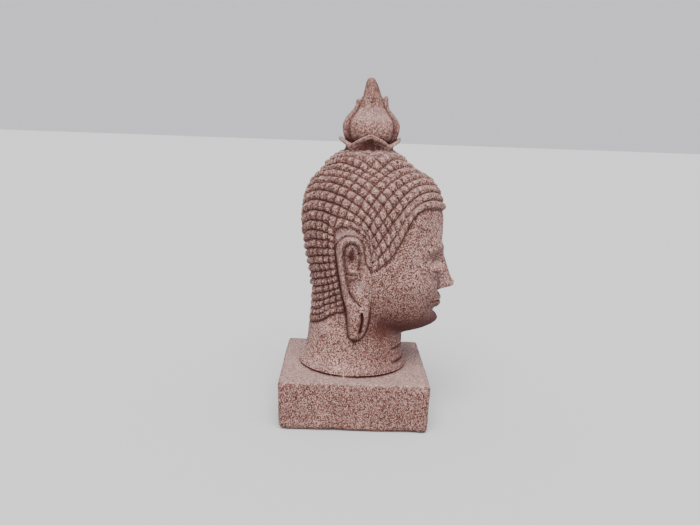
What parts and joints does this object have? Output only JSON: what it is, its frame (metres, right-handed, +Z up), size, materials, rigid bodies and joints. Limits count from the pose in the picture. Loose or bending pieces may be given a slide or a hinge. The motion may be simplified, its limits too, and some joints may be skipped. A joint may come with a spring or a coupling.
{
  "type": "stone buddha head",
  "caption": "Head of a Buddha with snail-shell curls, long ears and a lotus-bud finial, cast in one piece with its square plinth.",
  "frame": {"origin": "centre of the plinth's underside", "axes": "+Z up to the finial's tip, -Y the way the face looks, X across the head"},
  "size_m": [0.055, 0.0651, 0.1287],
  "materials": {
    "sandstone_composite": "matte, speckled pink, brick red and dark grains"
  },
  "bodies": {
    "root": {"buddha_head": "sandstone_composite"}
  },
  "joints": []
}
